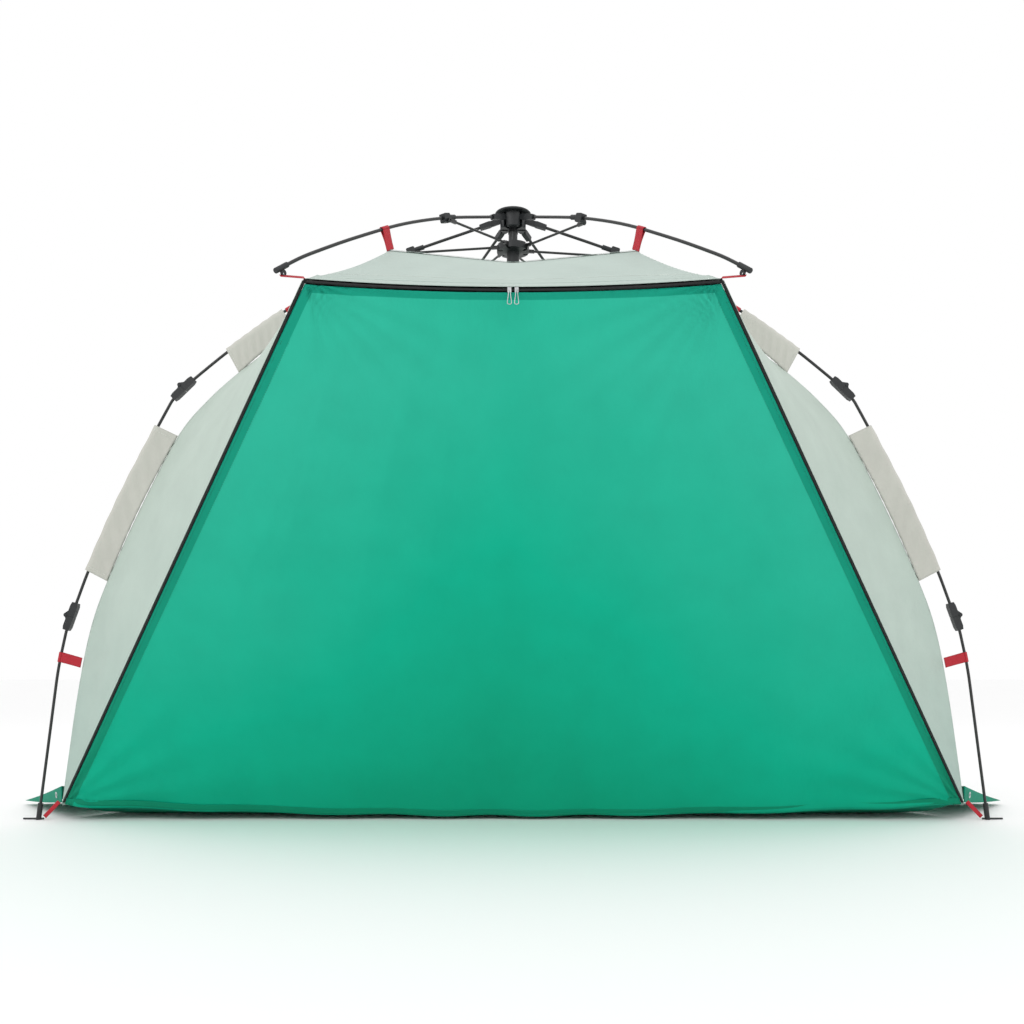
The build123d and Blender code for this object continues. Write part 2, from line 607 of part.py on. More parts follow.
for side, s in (("right", 1), ("left", -1)):
    door = Plane(origin=on_door(s * 8.0, zip_sag(0) + 8, 0), x_dir=(1, 0, 0), z_dir=(0, PANEL_SLOPE[1], -PANEL_SLOPE[0]))
    with BuildPart() as slider:
        with BuildSketch(door.offset(0.9)):
            RectangleRounded(13, 9, 3)
        extrude(amount=4)
        with BuildSketch(door.offset(4.9)):
            RectangleRounded(4, 6, 1.5)
        extrude(amount=3.4)
        with BuildSketch(Plane(origin=door.from_local_coords(Vector(-5, 0, 6.6)), x_dir=(0, 0, 1), z_dir=(1, 0, 0))):
            Circle(0.86)
        extrude(amount=10, mode=Mode.SUBTRACT)
    finish(slider.part, f"zip_slider_{side}")
    hang = door.from_local_coords(Vector(0, 0, 6.6))
    loop_plane = Plane(origin=hang, x_dir=(1, 0, 0), z_dir=(0, -1, 0))
    with BuildPart() as pull:
        with BuildLine(loop_plane):
            FilletPolyline((-0.01, 0), (-3.6, 0), (-5.2, -29), (5.2, -29), (3.6, 0), (0, 0), radius=[1.2, 4, 4, 1.2])
        with BuildSketch(Plane(origin=loop_plane.from_local_coords(Vector(-0.01, 0, 0)), x_dir=(0, 0, 1), z_dir=(-1, 0, 0))):
            Circle(0.8)
        sweep()
        with BuildSketch(Plane(origin=loop_plane.from_local_coords(Vector(-0.02, 0, 0)), x_dir=(0, 0, 1), z_dir=(1, 0, 0))):
            Circle(0.8)
        extrude(amount=0.04)
    finish(pull.part, f"zip_pull_{side}")

EYE_AT = (0.45, 0.42, 0.13)      # along the flap's first facet
with BuildPart() as corner_eyelets:
    for s in (1, -1):
        p0, p1, p2 = (Vector(s * p[0], p[1], p[2]) for p in flap_points[:3])
        n = (p1 - p0).cross(p2 - p0).normalized()
        n = n if n.Y < 0 else n * -1
        eye = p0 * EYE_AT[0] + p1 * EYE_AT[1] + p2 * EYE_AT[2]
        with BuildSketch(Plane(origin=eye, z_dir=n).offset(0.4)):
            Circle(9)
            Circle(5, mode=Mode.SUBTRACT)
        extrude(amount=1.4)
        print("eyelet", eye, n)
finish(corner_eyelets.part, "corner_eyelets")

print("strut", STRUT_END, STRUT_LEN)
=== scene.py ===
import math

import bmesh
import bpy
import numpy as np
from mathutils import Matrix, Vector


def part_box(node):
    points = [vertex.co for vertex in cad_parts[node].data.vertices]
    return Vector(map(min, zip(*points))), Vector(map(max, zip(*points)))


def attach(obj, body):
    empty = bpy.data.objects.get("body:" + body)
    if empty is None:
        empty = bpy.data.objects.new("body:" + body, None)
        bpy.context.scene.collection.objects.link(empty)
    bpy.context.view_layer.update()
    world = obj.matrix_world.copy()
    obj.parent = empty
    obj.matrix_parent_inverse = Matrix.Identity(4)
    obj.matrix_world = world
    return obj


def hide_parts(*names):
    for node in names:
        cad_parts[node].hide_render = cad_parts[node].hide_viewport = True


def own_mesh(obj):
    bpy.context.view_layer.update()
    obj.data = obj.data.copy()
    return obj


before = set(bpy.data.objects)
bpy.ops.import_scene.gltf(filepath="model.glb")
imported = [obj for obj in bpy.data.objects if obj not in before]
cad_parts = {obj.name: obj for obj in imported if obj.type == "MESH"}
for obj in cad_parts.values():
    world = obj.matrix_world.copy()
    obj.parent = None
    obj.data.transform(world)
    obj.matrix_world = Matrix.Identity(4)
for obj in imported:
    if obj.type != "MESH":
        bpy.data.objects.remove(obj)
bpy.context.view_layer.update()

# ------------------------------------------------------------------ places
lo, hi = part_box("upper_hub")
HY = (lo[1] + hi[1]) / 2            # the hub axis

SEAM = [(.600, 1.372), (.684, 1.309), (.765, 1.249), (.855, 1.168), (.935, 1.071), (1.035, .880), (1.133, .665),
        (1.180, .530), (1.214, .360), (1.246, .141), (1.262, .010)]
BROW = [(.026, 1.675), (.285, 1.587), (.450, 1.516), (.641, 1.412), (.766, 1.338), (.836, 1.288)]
UPPER = [(.026, 1.675), (.285, 1.587), (.470, 1.512), (.636, 1.424), (.800, 1.305), (.888, 1.2325), (.920, 1.203)]
MIDDLE = [(.920, 1.203), (.950, 1.174), (.990, 1.101), (1.096, .901), (1.187, .694), (1.222, .598), (1.2335, .567)]
LOWER = [(1.2335, .567), (1.247, .530), (1.270, .425), (1.307, .139), (1.323, .018)]
LEGS = {"right": 0.0, "left": 180.0, "rear_right": 60.0, "rear_left": 120.0}
BROWS = {"right": -52.0, "left": 232.0}
CORNER = (.460, -.620, 1.285)
SLOPE = (.4413, -.8974)
FOOT_X, W_SIDE, W_MID = 1.253, 1.382, 1.421


def hub(x, y, z):
    return np.array((x, HY + y, z), float)


def at(az, r, z, side=0.0):
    a = math.radians(az)
    return np.array((r * math.cos(a) - side * math.sin(a), HY + r * math.sin(a) + side * math.cos(a), z))


def smooth_line(pts, n):
    """A Catmull-Rom line through the points, n samples evenly spaced."""
    P = np.array(pts, float)
    P = np.vstack([2 * P[0] - P[1], P, 2 * P[-1] - P[-2]])
    out = []
    for i in range(1, len(P) - 2):
        t = np.linspace(0, 1, 24, endpoint=False)[:, None]
        a, b, c, d = P[i - 1], P[i], P[i + 1], P[i + 2]
        out.append(.5 * ((2 * b) + (c - a) * t + (2 * a - 5 * b + 4 * c - d) * t ** 2 + (-a + 3 * b - 3 * c + d) * t ** 3))
    out = np.vstack(out + [P[-2][None]])
    s = np.concatenate([[0], np.cumsum(np.linalg.norm(np.diff(out, axis=0), axis=1))])
    q = np.linspace(0, s[-1], n)
    return np.stack([np.interp(q, s, out[:, k]) for k in range(out.shape[1])], 1)


def filleted(pts, n):
    """The same route as the rod: straight runs with rounded corners."""
    P = [np.array(p, float) for p in pts]
    out = [P[0]]
    for a, b, c in zip(P, P[1:], P[2:]):
        run = .45 * min(np.linalg.norm(b - a), np.linalg.norm(c - b))
        u, v = (a - b) / np.linalg.norm(a - b), (c - b) / np.linalg.norm(c - b)
        for t in np.linspace(0, 1, 9):
            out.append(b + u * run * (1 - t) ** 2 + v * run * t ** 2)
    out.append(P[-1])
    out = np.array(out)
    s = np.concatenate([[0], np.cumsum(np.linalg.norm(np.diff(out, axis=0), axis=1))])
    q = np.linspace(0, s[-1], n)
    return np.stack([np.interp(q, s, out[:, k]) for k in range(2)], 1)


def between(pts, r0, r1, n):
    line = filleted(pts, 400)
    keep = line[(line[:, 0] >= r0) & (line[:, 0] <= r1)]
    idx = np.linspace(0, len(keep) - 1, n)
    return np.stack([np.interp(idx, np.arange(len(keep)), keep[:, k]) for k in range(2)], 1)


# ------------------------------------------------------------------ materials
def lin(r, g, b):
    f = lambda c: (c / 255 / 12.92) if c <= 10 else ((c / 255 + .055) / 1.055) ** 2.4
    return (f(r), f(g), f(b), 1)


def material(name):
    m = bpy.data.materials.new(name)
    m.use_nodes = True
    nt = m.node_tree
    nt.nodes.clear()
    out = nt.nodes.new("ShaderNodeOutputMaterial")
    p = nt.nodes.new("ShaderNodeBsdfPrincipled")
    nt.links.new(p.outputs[0], out.inputs[0])
    return m, nt, p


def coords(nt, scale=(1, 1, 1), rot=(0, 0, 0)):
    tc = nt.nodes.new("ShaderNodeTexCoord")
    mp = nt.nodes.new("ShaderNodeMapping")
    mp.inputs["Scale"].default_value = scale
    mp.inputs["Rotation"].default_value = rot
    nt.links.new(tc.outputs["Object"], mp.inputs[0])
    return mp.outputs[0]


def noise(nt, vec, scale, detail=4, rough=.55):
    n = nt.nodes.new("ShaderNodeTexNoise")
    n.inputs["Scale"].default_value = scale
    n.inputs["Detail"].default_value = detail
    n.inputs["Roughness"].default_value = rough
    nt.links.new(vec, n.inputs["Vector"])
    return n.outputs["Fac"]


def wave(nt, vec, scale, direction):
    w = nt.nodes.new("ShaderNodeTexWave")
    w.bands_direction = direction
    w.inputs["Scale"].default_value = scale
    w.inputs["Distortion"].default_value = .3
    nt.links.new(vec, w.inputs["Vector"])
    return w.outputs["Fac"]


def ramp(nt, fac, stops):
    r = nt.nodes.new("ShaderNodeValToRGB")
    e = r.color_ramp.elements
    while len(e) < len(stops):
        e.new(.5)
    for k, (pos, col) in enumerate(stops):
        e[k].position = pos
        e[k].color = col
    nt.links.new(fac, r.inputs[0])
    return r.outputs[0]


def math_node(nt, op, a, b, clamp=False):
    m = nt.nodes.new("ShaderNodeMath")
    m.operation = op
    m.use_clamp = clamp
    for k, v in ((0, a), (1, b)):
        if isinstance(v, (int, float)):
            m.inputs[k].default_value = v
        else:
            nt.links.new(v, m.inputs[k])
    return m.outputs[0]


def mixed(nt, fac, a, b, mode="MIX"):
    m = nt.nodes.new("ShaderNodeMix")
    m.data_type = "RGBA"
    m.blend_type = mode
    for k, v in (("Factor", fac), (6, a), (7, b)):
        sock = m.inputs[0] if k == "Factor" else m.inputs[k]
        if isinstance(v, (int, float, tuple)):
            sock.default_value = v
        else:
            nt.links.new(v, sock)
    return m.outputs[2]


def bump(nt, p, height, strength, dist, prev=None):
    b = nt.nodes.new("ShaderNodeBump")
    b.inputs["Strength"].default_value = strength
    b.inputs["Distance"].default_value = dist
    nt.links.new(height, b.inputs["Height"])
    if prev is not None:
        nt.links.new(prev, b.inputs["Normal"])
    nt.links.new(b.outputs[0], p.inputs["Normal"])
    return b.outputs[0]


def cloth(name, top, bottom, z0, z1, rough=.62, sheen=.0, weave=900, folds=.55, mid=None, centre_shade=0):
    """Coated polyester: fine square weave, faint cloudy variation, soft creases, and painted shade that makes it
    darker towards the ground (on the door the darker foot is partly the doubled floor layer too).
    """
    m, nt, p = material(name)
    v = coords(nt)
    sep = nt.nodes.new("ShaderNodeSeparateXYZ")
    nt.links.new(v, sep.inputs[0])
    # painted shade: the base colour runs from the shaded bottom colour at z0 up to the top colour at z1
    h = math_node(nt, "DIVIDE", math_node(nt, "SUBTRACT", sep.outputs[2], z0), z1 - z0, True)
    wob = math_node(nt, "MULTIPLY", math_node(nt, "SUBTRACT", noise(nt, v, 1.7, 3), .5), .35)
    h = math_node(nt, "ADD", h, wob, True)
    if centre_shade:          # painted shade: the middle of the panel is darker, as it stands further from the light
        off = math_node(nt, "DIVIDE", math_node(nt, "ABSOLUTE", sep.outputs[0], 0), .75, True)
        h = math_node(nt, "ADD", h, math_node(nt, "MULTIPLY", math_node(nt, "SUBTRACT", off, .45), centre_shade), True)
    mid = mid or tuple((a * .35 + b * .65) for a, b in zip(bottom, top))
    base = ramp(nt, h, [(0, bottom), (.42, mid), (1, top)])
    cloud = ramp(nt, noise(nt, v, 9, 5), [(.3, (.93, .93, .93, 1)), (.7, (1, 1, 1, 1))])
    base = mixed(nt, 1.0, base, cloud, "MULTIPLY")
    grid = math_node(nt, "MULTIPLY", math_node(nt, "ADD", wave(nt, v, weave, "X"), wave(nt, v, weave, "Z")), .5)
    thread = ramp(nt, grid, [(0, (.95, .95, .95, 1)), (1, (1, 1, 1, 1))])
    base = mixed(nt, 1.0, base, thread, "MULTIPLY")
    nt.links.new(base, p.inputs["Base Color"])
    nt.links.new(ramp(nt, noise(nt, v, 30, 3), [(0, (rough - .06,) * 3 + (1,)), (1, (rough + .08,) * 3 + (1,))]), p.inputs["Roughness"])
    p.inputs["Sheen Weight"].default_value = sheen
    p.inputs["Specular IOR Level"].default_value = .16
    p.inputs["Sheen Roughness"].default_value = .5
    n1 = bump(nt, p, grid, .12, .0003)
    crease = noise(nt, coords(nt, (1, 1, .55)), 14, 6, .6)
    bump(nt, p, crease, folds, .004, n1)
    return m


# painted shade: each bottom colour is the cloth's colour in shade low down; the door's darker foot is partly its
# doubled floor layer as well
DOOR = cloth("door_green_cloth", lin(44, 182, 154), lin(0, 163, 127), 0.0, 1.15, mid=lin(0, 177, 143), centre_shade=.42)
BORDER = cloth("door_border_cloth", lin(10, 152, 126), lin(0, 140, 106), 0.0, 1.10)
WALL = cloth("wall_mint_cloth", lin(192, 206, 196), lin(172, 193, 184), .1, 1.2)
ROOF = cloth("roof_pale_cloth", lin(190, 204, 197), lin(184, 198, 191), .9, 1.45)
SLEEVE = cloth("sleeve_warm_cloth", lin(204, 204, 196), lin(198, 197, 189), .6, 1.4, folds=.5)
FLOOR = cloth("floor_green_cloth", lin(2, 142, 114), lin(0, 132, 102), 0.0, .12)


def webbing():
    m, nt, p = material("red_webbing")
    v = coords(nt)
    rib = math_node(nt, "MULTIPLY", wave(nt, coords(nt, rot=(0, 0, .785)), 420, "X"), wave(nt, v, 500, "Z"))
    col = ramp(nt, rib, [(0, lin(168, 14, 34)), (1, lin(226, 36, 56))])
    nt.links.new(col, p.inputs["Base Color"])
    p.inputs["Roughness"].default_value = .6
    p.inputs["Sheen Weight"].default_value = .05
    bump(nt, p, rib, .5, .0006)
    return m


def plastic(name, rgb, rough, grain=900, strength=.15, metal=0.0, coat=0.0):
    m, nt, p = material(name)
    v = coords(nt)
    f = noise(nt, v, 60, 4)
    a = tuple(c * .82 for c in rgb[:3]) + (1,)
    b = tuple(min(1, c * 1.25) for c in rgb[:3]) + (1,)
    nt.links.new(ramp(nt, f, [(.3, a), (.7, b)]), p.inputs["Base Color"])
    nt.links.new(ramp(nt, noise(nt, v, 140, 3), [(.2, (rough - .07,) * 3 + (1,)), (.8, (rough + .1,) * 3 + (1,))]), p.inputs["Roughness"])
    p.inputs["Metallic"].default_value = metal
    p.inputs["Coat Weight"].default_value = coat
    bump(nt, p, noise(nt, v, grain, 2), strength, .0004)
    return m


RED = webbing()
NYLON = plastic("moulded_black_nylon", lin(27, 30, 32), .42)
ROD = plastic("black_glass_fibre_rod", lin(15, 16, 17), .3, 300, .08, coat=.3)
ZIP = plastic("zip_black_tape", lin(9, 9, 10), .55, 1500, .4)
ENAMEL = plastic("slider_black_enamel", lin(34, 34, 36), .25, 500, .06, metal=.6)
ALLOY = plastic("bright_cast_alloy", lin(196, 198, 200), .28, 700, .1, metal=1.0)
STEEL = plastic("brushed_rivet_steel", lin(130, 132, 134), .35, 700, .12, metal=1.0)
THREAD = plastic("pale_stitch_thread", lin(228, 232, 226), .7, 2200, .3)
THREAD_G = plastic("green_stitch_thread", lin(4, 120, 96), .7, 2200, .3)

for node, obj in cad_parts.items():
    if "rod_" in node or node == "hub_post":
        mat = ROD
    elif node.startswith("strut"):
        mat = ROD
    elif "pins" in node:
        mat = STEEL
    elif "zip_slider" in node:
        mat = ALLOY
    elif "zip_pull" in node or node == "corner_eyelets":
        mat = ALLOY
    else:
        mat = NYLON
    obj = obj if hasattr(obj, "material_slots") else bpy.data.objects[node]
    if not obj.material_slots:
        obj.data.materials.append(mat)
    for s in obj.material_slots:
        s.material = mat


# ------------------------------------------------------------------ meshes
def mesh_object(name, verts, faces, mats, face_mat=None, thick=0.0, offset=0.0):
    me = bpy.data.meshes.new(name)
    me.from_pydata([tuple(v) for v in verts], [], [tuple(int(i) for i in f) for f in faces])
    for m in mats:
        me.materials.append(m)
    if face_mat is not None:
        me.polygons.foreach_set("material_index", np.asarray(face_mat, np.int32))
    me.polygons.foreach_set("use_smooth", np.ones(len(me.polygons), bool))
    me.update()
    o = bpy.data.objects.new(name, me)
    bpy.context.scene.collection.objects.link(o)
    if thick:
        s = o.modifiers.new("thickness", "SOLIDIFY")
        s.thickness = thick
        s.offset = offset
    return o


def grid_faces(n, m, flip=False):
    f = []
    for i in range(n - 1):
        for j in range(m - 1):
            a, b, c, d = i * m + j, i * m + j + 1, (i + 1) * m + j + 1, (i + 1) * m + j
            f.append((a, d, c, b) if flip else (a, b, c, d))
    return f


def relaxed(G, pinned, rounds=400):
    """Tensioned cloth between its seams: every free point moves to its neighbours' mean."""
    G = G.copy()
    free = ~pinned
    for _ in range(rounds):
        A = .25 * (np.roll(G, 1, 0) + np.roll(G, -1, 0) + np.roll(G, 1, 1) + np.roll(G, -1, 1))
        G[free] = A[free]
    return G


def fall(o, body="canopy"):
    """Attaches the cloth to its body and gives it a mesh of its own."""
    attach(o, body)
    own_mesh(o)


def ribbon(name, line, width, normal, mats, thick=.0012, body="canopy", squash=True):
    """Flat webbing along a 3-D line; width lies across the line, square to normal."""
    L = np.array(line, float)
    T = np.gradient(L, axis=0)
    T /= np.linalg.norm(T, axis=1)[:, None]
    N = np.array(normal, float)
    if N.ndim == 1:
        N = np.repeat(N[None], len(L), 0)
    W = np.cross(T, N)
    W /= np.linalg.norm(W, axis=1)[:, None]
    cols = np.linspace(-.5, .5, 7)
    G = L[:, None] + W[:, None] * (cols * width)[None, :, None]
    o = mesh_object(name, G.reshape(-1, 3), grid_faces(len(L), 7), mats, thick=thick)
    if squash:
        fall(o, body)
    else:
        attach(o, body)
    return o, G


def stitches(name, line, normal, mat, body="canopy", step=.006, long=.0038, r=.00045, lift=.0009):
    """A row of short thread stitches lying on the cloth."""
    L = np.array(line, float)
    s = np.concatenate([[0], np.cumsum(np.linalg.norm(np.diff(L, axis=0), axis=1))])
    n = max(2, int(s[-1] / step))
    q = (np.arange(n) + .5) * s[-1] / n
    P = np.stack([np.interp(q, s, L[:, k]) for k in range(3)], 1)
    N = np.array(normal, float)
    N = np.repeat(N[None], len(L), 0) if N.ndim == 1 else N
    Q = np.stack([np.interp(q, s, N[:, k]) for k in range(3)], 1)
    Q /= np.linalg.norm(Q, axis=1)[:, None]
    T = np.gradient(P, axis=0)
    T /= np.linalg.norm(T, axis=1)[:, None]
    W = np.cross(T, Q)
    V, F = [], []
    for p, t, w, q3 in zip(P, T, W, Q):
        c = p + q3 * lift
        b = len(V)
        for e, k in ((-.5, .35), (-.3, 1), (.3, 1), (.5, .35)):
            for ww, qq in ((-1, 0), (0, 1), (1, 0), (0, -1)):
                V.append(c + t * long * e + w * r * k * ww + q3 * r * k * qq)
        for i in range(3):
            for j in range(4):
                F.append((b + i * 4 + j, b + i * 4 + (j + 1) % 4, b + (i + 1) * 4 + (j + 1) % 4, b + (i + 1) * 4 + j))
        F.append((b + 3, b + 2, b + 1, b))
        F.append((b + 12, b + 13, b + 14, b + 15))
    o = mesh_object(name, V, F, [mat])
    return o


# ------------------------------------------------------------------ door
def door_side(w):
    return CORNER[0] + (FOOT_X - CORNER[0]) * w / W_SIDE


def zip_sag(x):
    return .018 * (1 - (abs(x) / CORNER[0]) ** 2)


DOOR_N = np.array((0, SLOPE[1], -SLOPE[0]))      # out towards the front


def on_door(x, w, lift=0.0):
    return hub(x, CORNER[1] + SLOPE[0] * w, CORNER[2] + SLOPE[1] * w) + DOOR_N * lift


NU, NV = 181, 141
U = np.linspace(-1, 1, NU)
Vv = np.linspace(0, 1, NV)
D = np.zeros((NV, NU, 3))
rng = np.random.default_rng(7)
for i, t in enumerate(Vv):
    top = .0122 + zip_sag(U * .455)
    foot = W_SIDE + (W_MID - W_SIDE) * (1 - U ** 2) - .001
    w = top + t * (foot - top)
    w = top + (.004 * i if i <= 4 else .016 + (i - 4) / (NV - 5) * (foot - top - .016))
    H = CORNER[0] + (FOOT_X - CORNER[0]) * w / W_SIDE - .0045
    k_edge = np.minimum(np.arange(NU), NU - 1 - np.arange(NU))
    inset = np.where(k_edge <= 7, .0035 * k_edge, .0245 + (k_edge - 7) / ((NU - 1) / 2 - 7) * (H - .0245))
    x = np.sign(U) * (H - inset)
    w = np.where(k_edge <= 7, np.maximum(w, w), w)
    # drum-tight cloth with a shallow belly, tension folds from the corners and puckers along the zips
    belly = -.016 * np.sin(np.pi * np.clip(t, 0, 1)) * (1 - U ** 2) + .004 * np.sin(np.pi * t * 2 + .4) * (1 - U ** 2)
    lift = belly.copy()
    for sx in (-1, 1):
        cx, cw = sx * CORNER[0], .0
        dx, dw = (x - cx) * -sx, w - cw
        ang = np.arctan2(dw, np.maximum(dx, 1e-4))
        rad = np.hypot(dx, dw)
        lift += .0038 * np.sin(ang * 26 + sx) * np.exp(-rad / .28) * np.clip(rad / .04, 0, 1)
        bx, bw = sx * FOOT_X, W_SIDE
        dx, dw = (x - bx) * -sx, bw - w
        ang = np.arctan2(dw, np.maximum(dx, 1e-4))
        rad = np.hypot(dx, dw)
        lift += .0046 * np.sin(ang * 22 + 2 * sx) * np.exp(-rad / .33) * np.clip(rad / .05, 0, 1)
        d_edge = (1 - np.abs(U)) * np.abs(x).max()
        pucker = np.sin(w * 2 * np.pi / .021 + 1.7 * np.sin(w * 9) + sx) * .5 + np.sin(w * 2 * np.pi / .034 + 2.2 * sx) * .5
        side = (np.sign(U) == sx)
        lift += np.where(side, .0017 * pucker * np.exp(-d_edge / .022), 0)
    d_top = w - top
    lift += .0016 * (np.sin(x * 2 * np.pi / .019 + 2 * np.sin(x * 11)) * .6 + np.sin(x * 2 * np.pi / .033) * .4) * np.exp(-d_top / .025)
    d_hem = foot - w
    lift += .0045 * np.sin(x * 2 * np.pi / .31 + .8 * np.sin(x * 5)) * np.exp(-d_hem / .12)
    lift *= np.clip((1 - np.abs(U)) / .006, 0, 1) * .9 + .1
    for j in range(NU):
        D[i, j] = on_door(x[j], w[j], lift[j])
# long soft folds that run down from the top zip
XX = D[:, :, 0]
for k in range(14):
    c, wd, ph, dep = rng.uniform(-.8, .8), rng.uniform(.012, .035), rng.uniform(.05, .5), rng.uniform(.0012, .0032)
    tt = Vv[:, None]
    line = c * (.45 + .8 * tt) + .04 * np.sin(3 * tt + k)
    amp = dep * np.exp(-((tt - ph) / .22) ** 2)
    D += (np.exp(-((XX - line) / wd) ** 2) * amp)[..., None] * DOOR_N
border = np.zeros((NV - 1, NU - 1), int)
border[:4] = 1
border[:, :7] = 1
border[:, -7:] = 1
door = mesh_object("door_cloth", D.reshape(-1, 3), grid_faces(NV, NU, True), [DOOR, BORDER], border.reshape(-1), thick=.0008)
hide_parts("front_panel")
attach(door, "door")
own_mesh(door)

# hem fold along the bottom and stitch rows beside the zips
hem = []
for x in np.linspace(-1.24, 1.24, 160):
    foot = W_SIDE + (W_MID - W_SIDE) * (1 - (x / FOOT_X) ** 2)
    hem.append(on_door(x, foot - .012, .0014 + .0045 * math.sin(x * 2 * math.pi / .31 + .8 * math.sin(x * 5)) * .9))
o, G = ribbon("door_hem_fold", hem, .018, DOOR_N, [BORDER], .001, "door")
for k, off in (("inner", .030), ("outer", .012)):
    for sx, side in ((1, "right"), (-1, "left")):
        line = [on_door(sx * (door_side(w) - off), w, .0009) for w in np.linspace(.05, W_SIDE - .02, 120)]
        o = stitches(f"door_stitch_{k}_{side}", line, DOOR_N, THREAD_G)
        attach(o, "door")
        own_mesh(o)

# zip: woven tape with a raised coil of teeth
def zip_run(name, line, width=.0095):
    L = smooth_line(line, 260)
    T = np.gradient(L, axis=0)
    T /= np.linalg.norm(T, axis=1)[:, None]
    W = np.cross(T, DOOR_N)
    W /= np.linalg.norm(W, axis=1)[:, None]
    prof = [(-.5, .0002), (-.5, .0010), (-.20, .0012), (-.17, .0022), (-.06, .0029), (0, .0021), (.06, .0029), (.17, .0022), (.20, .0012), (.5, .0010), (.5, .0002)]
    G = np.stack([L + W * (a * width) + DOOR_N * b for a, b in prof], 1)
    n, m = len(L), len(prof)
    F = []
    for i in range(n - 1):
        for j in range(m):
            F.append((i * m + j, i * m + (j + 1) % m, (i + 1) * m + (j + 1) % m, (i + 1) * m + j))
    F.append(tuple(range(m))[::-1])
    F.append(tuple((n - 1) * m + k for k in range(m)))
    o = mesh_object(name, G.reshape(-1, 3), F, [ZIP])
    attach(o, "door")
    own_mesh(o)
    return o


ztop = zip_run("zip_top", [on_door(x, zip_sag(x) + .0078) for x in np.linspace(-.4625, .4625, 15)], .0074)
zr = zip_run("zip_side_right", [on_door(door_side(w) - .0005, w) for w in np.linspace(.001, 1.376, 8)], .0060)
zl = zip_run("zip_side_left", [on_door(-door_side(w) + .0005, w) for w in np.linspace(.001, 1.376, 8)], .0060)
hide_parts("zip_tape")

# ------------------------------------------------------------------ walls
seam = smooth_line(SEAM, 90)
N = len(seam)


def wall_sheet(name, left, right, node, mats, cols=61, belly=0.0):
    """Sheet between two edges, relaxed under tension; both edges are sewn."""
    n = len(left)
    t = np.linspace(0, 1, cols)[None, :, None]
    G = left[:, None] * (1 - t) + right[:, None] * t
    pin = np.zeros(G.shape[:2], bool)
    pin[:, 0] = pin[:, -1] = pin[0] = pin[-1] = True
    G = relaxed(G, pin, 250)
    nrm = np.cross(np.gradient(G, axis=0), np.gradient(G, axis=1))
    nrm /= np.maximum(np.linalg.norm(nrm, axis=-1, keepdims=True), 1e-9)
    i, j = np.mgrid[0:n, 0:cols]
    a, b = i / (n - 1), j / (cols - 1)
    size = np.linalg.norm(right - left, axis=1)[:, None]
    s = .0035 * np.sin(a * 21 + b * 7) * np.sin(np.pi * b) * np.sin(np.pi * a)
    s = s + .0012 * np.sin(a * 170 + 3 * np.sin(b * 9)) * (np.exp(-b * 16) + np.exp(-(1 - b) * 16)) * np.clip(size / .1, 0, 1)
    s = s + belly * np.sin(np.pi * b) * np.sin(np.pi * a)
    s = s * (1 - (b == 0)) * (1 - (b == 1)) * np.clip(size / .05, 0, 1)
    G = G + nrm * s[..., None]
    o = mesh_object(name, G.reshape(-1, 3), grid_faces(n, cols), mats, thick=.0008)
    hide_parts(node)
    fall(o)
    return o, G


q = np.linspace(0, 1, N)
front_seam = smooth_line(SEAM[:-1] + [(1.259, .040)], 90)
for sx, side in ((1, "right"), (-1, "left")):
    left = np.array([at(0, r, z, -.0004) for r, z in front_seam])
    # the zip edge's run along the door: a match to the seam by height is worked out, then replaced by a listed run
    wz = np.clip((CORNER[2] - seam[:, 1]) / -SLOPE[1], 0, 1.37)
    wz = np.interp(q, [0, 1], [0, 1]) * 0 + np.maximum.accumulate(np.interp(q, [0, .18, .5, 1], [0.004, .16, .66, 1.374]))
    right = np.array([on_door(door_side(w) + .0048, w) for w in wz])
    if sx < 0:
        left[:, 0] *= -1
        right[:, 0] *= -1
        left, right = right, left
    wall_sheet(f"front_side_cloth_{side}", left, right, f"front_side_wall_{side}", [WALL])
for name, a0, a1, node in (("rear_side_cloth_right", 0, 60, "rear_side_wall_right"), ("back_cloth", 60, 120, "back_wall"), ("rear_side_cloth_left", 120, 180, "rear_side_wall_left")):
    left = np.array([at(a0, r, z, .0004) for r, z in (front_seam if a0 == 0 else seam)])
    right = np.array([at(a1, r, z, -.0004) for r, z in (front_seam if a1 == 180 else seam)])
    wall_sheet(name, left, right, node, [WALL], belly=0)

# ------------------------------------------------------------------ roof
rows, cols = 121, 121
ys = np.linspace(0, 1, rows)
Yk = [-.614, -.40, -.2, 0.0, .26, .5196]
Y = np.interp(ys, np.linspace(0, 1, len(Yk)), Yk)
G = np.zeros((rows, cols, 3))
sgrid = np.linspace(-1, 1, cols)
for i, y in enumerate(Y):
    if y < 0:
        k = (y + .614) / .614
        X = .460 + k * .140
        ze = 1.286 + k * (1.372 - 1.286)
    else:
        k = y / .5196
        X = .600 - .300 * k
        ze = 1.372
    for j, s in enumerate(sgrid):
        x = s * X
        # height over the boundary: ridge between the two hanging ties, crown under the hub
        if y <= -.40:
            k = (y + .614) / .214
            zf = 1.286 - .018 * (1 - s * s)
            zr_ = np.interp(abs(s), [0, .59, 1], [1.402, 1.432, 1.318])
            z = zf + (zr_ - zf) * k if k < 1 else zr_
        elif y <= 0:
            k = (y + .40) / .40
            zr_ = np.interp(abs(s), [0, .59, 1], [1.402, 1.432, 1.318])
            zc = np.interp(abs(s), [0, .59, 1], [1.49, 1.43, 1.372])
            z = zr_ + (zc - zr_) * k
        else:
            k = y / .5196
            zc = np.interp(abs(s), [0, .59, 1], [1.49, 1.43, 1.372])
            z = zc + (1.370 - zc) * k
        if abs(s) == 1:
            z = ze
        G[i, j] = hub(x, y, z)
pin = np.zeros((rows, cols), bool)
pin[0] = pin[-1] = pin[:, 0] = pin[:, -1] = True
ir = int(np.argmin(np.abs(Y + .40)))
